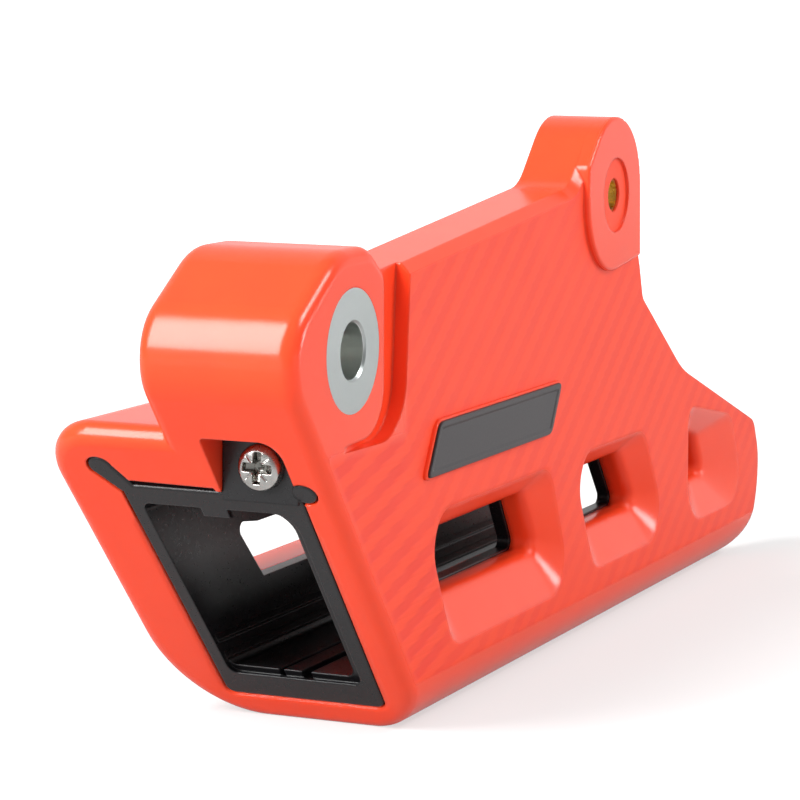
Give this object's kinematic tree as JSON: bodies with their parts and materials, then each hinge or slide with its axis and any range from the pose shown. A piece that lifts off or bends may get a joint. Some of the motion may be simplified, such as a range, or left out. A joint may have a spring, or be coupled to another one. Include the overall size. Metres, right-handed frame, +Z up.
{
  "type": "motorcycle chain guide",
  "caption": "Moulded rear chain guide with a slanted mouth, black wear liner, side windows, a bushed front boss and a rear lug with a threaded insert.",
  "frame": {"origin": "centre of the front sleeve's bore on its near mounting face", "axes": "+X rearward along the chain, +Y away from the near mounting face, +Z up"},
  "size_m": [0.2178, 0.046, 0.0905],
  "materials": {
    "housing": "glossy orange-red moulded nylon, satin on the twill-textured near face",
    "liner": "black satin moulded wear plastic",
    "sleeve": "fine turned",
    "insert": "turned brass",
    "screw": "zinc plated"
  },
  "bodies": {
    "root": {"housing": "housing", "wear_liner": "liner", "front_sleeve": "sleeve", "rear_insert": "insert", "liner_screw": "screw"}
  },
  "joints": []
}
